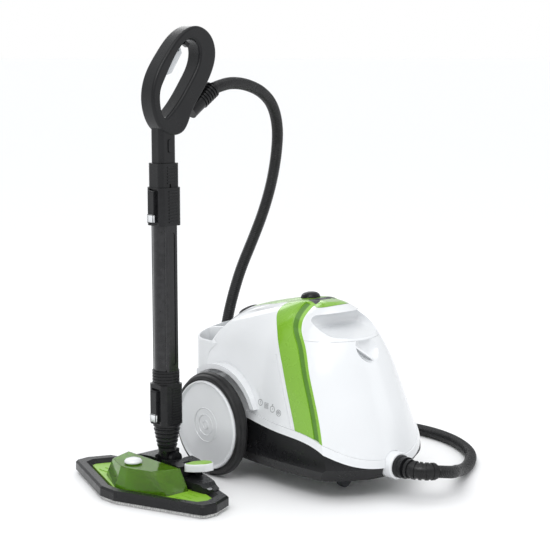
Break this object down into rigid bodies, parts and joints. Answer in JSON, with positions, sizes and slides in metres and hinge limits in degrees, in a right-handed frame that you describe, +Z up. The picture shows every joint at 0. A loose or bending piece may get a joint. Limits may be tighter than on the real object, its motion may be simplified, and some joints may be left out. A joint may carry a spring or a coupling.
{
  "type": "canister steam cleaner",
  "caption": "Wheeled canister steam cleaner with carrying grip, top dial, rear accessory tray, steam hose, loop handle, tube and a floor head with a lift-out tank.",
  "frame": {"origin": "middle of the object's footprint on the floor, leaving out the steam hose, its boot, its plug and its cuff", "axes": "+Z up, the front of the canister faces -Y, the canister's right side and the upright tube are towards -X"},
  "size_m": [0.738, 0.585, 0.81],
  "materials": {
    "white_gloss": "gloss white ABS housing",
    "green_gloss": "gloss lime green plastic",
    "green_soft": "satin lime green plastic",
    "green_deep": "dark green plastic",
    "black_plastic": "fine textured black plastic",
    "black_gloss": "gloss black plastic",
    "grey_plastic": "mid grey plastic",
    "light_grey": "light grey plastic",
    "tyre_rubber": "soft black tread",
    "hose_black": "corrugated black hose",
    "boiler_alloy": "cast aluminium pressure vessel",
    "steel": "zinc plated steel",
    "brass": "machined brass",
    "silicone": "clear silicone tube",
    "board": "printed circuit board",
    "tank_clear": "translucent polypropylene tank",
    "tank_green": "translucent green tank",
    "cloth": "microfibre pad"
  },
  "bodies": {
    "machine": {"base_pan": "black_plastic", "base_screws": "steel", "lower_trim": "white_gloss", "rear_shell": "white_gloss", "green_band": "green_gloss", "band_inlay": "green_deep", "grip_panel": "white_gloss", "front_panel": "white_gloss", "rear_caddy": "white_gloss", "control_panel": "grey_plastic", "water_tank": "tank_clear", "pump": "black_plastic", "water_pipes": "silicone", "boiler": "boiler_alloy", "boiler_heater": "steel", "solenoid_valve": "brass", "steam_pipe": "silicone", "control_board": "board", "cord_gland": "black_plastic", "hose_socket": "black_plastic", "socket_ring": "white_gloss", "rear_axle": "steel", "hose_plug": "black_plastic", "hose_boot": "hose_black", "steam_hose": "hose_black"},
    "button_right": {"panel_button_right": "grey_plastic"},
    "button_left": {"panel_button_left": "grey_plastic"},
    "dial": {"steam_dial": "black_plastic"},
    "cap": {"filler_cap": "black_plastic"},
    "wheel_right": {"tyre_right": "tyre_rubber", "wheel_core_right": "black_plastic", "hub_cover_right": "white_gloss"},
    "wheel_left": {"tyre_left": "tyre_rubber", "wheel_core_left": "black_plastic", "hub_cover_left": "white_gloss"},
    "caster": {"caster_fork": "black_plastic", "caster_pin": "steel"},
    "caster_roller": {"caster_wheel": "grey_plastic"},
    "wand": {"handle_right_half": "black_plastic", "handle_left_half": "black_plastic", "hose_cuff": "black_plastic", "upper_coupler": "black_plastic", "extension_tube": "black_gloss", "lower_coupler": "black_plastic", "neck": "black_plastic"},
    "trigger": {"steam_trigger": "light_grey"},
    "lock": {"trigger_lock": "black_plastic"},
    "handle_release": {"release_button": "black_plastic"},
    "latch_upper": {"upper_latch": "black_plastic"},
    "latch_lower": {"lower_latch": "black_plastic"},
    "yoke": {"neck_yoke": "black_plastic"},
    "mop_head": {"mop_frame": "black_plastic", "mop_inlay": "green_soft", "mop_cloth": "cloth", "bridge_cover": "black_plastic", "head_screws": "steel"},
    "tank": {"fragrance_tank": "tank_green"},
    "plug": {"tank_plug": "white_gloss"},
    "pedal": {"pedal_lever": "white_gloss", "pedal_pad": "green_soft"}
  },
  "joints": [
    {"name": "right_wheel_spin", "type": "hinge", "parent": "machine", "child": "wheel_right", "pos_m": [0.1125, 0.0775, 0.095], "axis": [1, 0, 0], "continuous": true},
    {"name": "left_wheel_spin", "type": "hinge", "parent": "machine", "child": "wheel_left", "pos_m": [0.1125, 0.0775, 0.095], "axis": [1, 0, 0], "continuous": true},
    {"name": "caster_swivel", "type": "hinge", "parent": "machine", "child": "caster", "pos_m": [0.1085, -0.1385, 0], "axis": [0, 0, 1], "continuous": true},
    {"name": "caster_roll", "type": "hinge", "parent": "caster", "child": "caster_roller", "pos_m": [0.0925, -0.1385, 0.013], "axis": [0, 1, 0], "continuous": true},
    {"name": "dial_turn", "type": "hinge", "parent": "machine", "child": "dial", "pos_m": [0.1125, -0.0295, 0.323], "axis": [0, 0.1, 0.995], "range_deg": [0, 270]},
    {"name": "filler_cap_lift", "type": "slide", "parent": "machine", "child": "cap", "axis": [0, 0.5501, 0.8351], "range_m": [0, 0.03]},
    {"name": "right_button_press", "type": "slide", "parent": "machine", "child": "button_right", "axis": [0, 0.2756, -0.9613], "range_m": [0, 0.0015], "stiffness_N_per_m": 300, "springref_m": -0.001},
    {"name": "left_button_press", "type": "slide", "parent": "machine", "child": "button_left", "axis": [0, 0.2756, -0.9613], "range_m": [0, 0.0015], "stiffness_N_per_m": 300, "springref_m": -0.001},
    {"name": "wand_tilt", "type": "hinge", "parent": "machine", "child": "wand", "pos_m": [-0.1375, 0.068, 0.055], "axis": [0, 1, 0], "range_deg": [0, 20], "deforming": ["steam_hose"]},
    {"name": "trigger_pull", "type": "hinge", "parent": "wand", "child": "trigger", "pos_m": [-0.112, 0.068, 0.768], "axis": [0, 1, 0], "range_deg": [0, 5], "stiffness_Nm_per_rad": 0.3, "springref_deg": -11.46},
    {"name": "trigger_lock_slide", "type": "slide", "parent": "wand", "child": "lock", "axis": [0.848, 0, -0.53], "range_m": [0, 0.003]},
    {"name": "handle_release_press", "type": "slide", "parent": "wand", "child": "handle_release", "axis": [0, 1, 0], "range_m": [0, 0.002], "stiffness_N_per_m": 400, "springref_m": -0.001},
    {"name": "upper_latch_slide", "type": "slide", "parent": "wand", "child": "latch_upper", "axis": [0, 0, 1], "range_m": [0, 0.002], "stiffness_N_per_m": 300, "springref_m": -0.002},
    {"name": "lower_latch_slide", "type": "slide", "parent": "wand", "child": "latch_lower", "axis": [0, 0, 1], "range_m": [0, 0.002], "stiffness_N_per_m": 300, "springref_m": -0.002},
    {"name": "neck_pitch", "type": "hinge", "parent": "wand", "child": "yoke", "pos_m": [-0.1375, 0.068, 0.055], "axis": [0, 1, 0], "range_deg": [-65, 0]},
    {"name": "head_swivel", "type": "hinge", "parent": "yoke", "child": "mop_head", "pos_m": [-0.1375, 0.068, 0], "axis": [0, 0, 1], "range_deg": [-25, 25]},
    {"name": "tank_lift", "type": "slide", "parent": "mop_head", "child": "tank", "axis": [0, 0, 1], "range_m": [0, 0.04]},
    {"name": "tank_plug_pull", "type": "slide", "parent": "tank", "child": "plug", "axis": [0, 0, 1], "range_m": [0, 0.02]},
    {"name": "pedal_press", "type": "hinge", "parent": "mop_head", "child": "pedal", "pos_m": [-0.1345, 0.0195, 0.043], "axis": [1, 0, 0], "range_deg": [0, 10], "stiffness_Nm_per_rad": 0.6, "springref_deg": -11.46}
  ],
  "couplings": [
    {"joint": "neck_pitch", "follows": "wand_tilt", "ratio": -1}
  ]
}
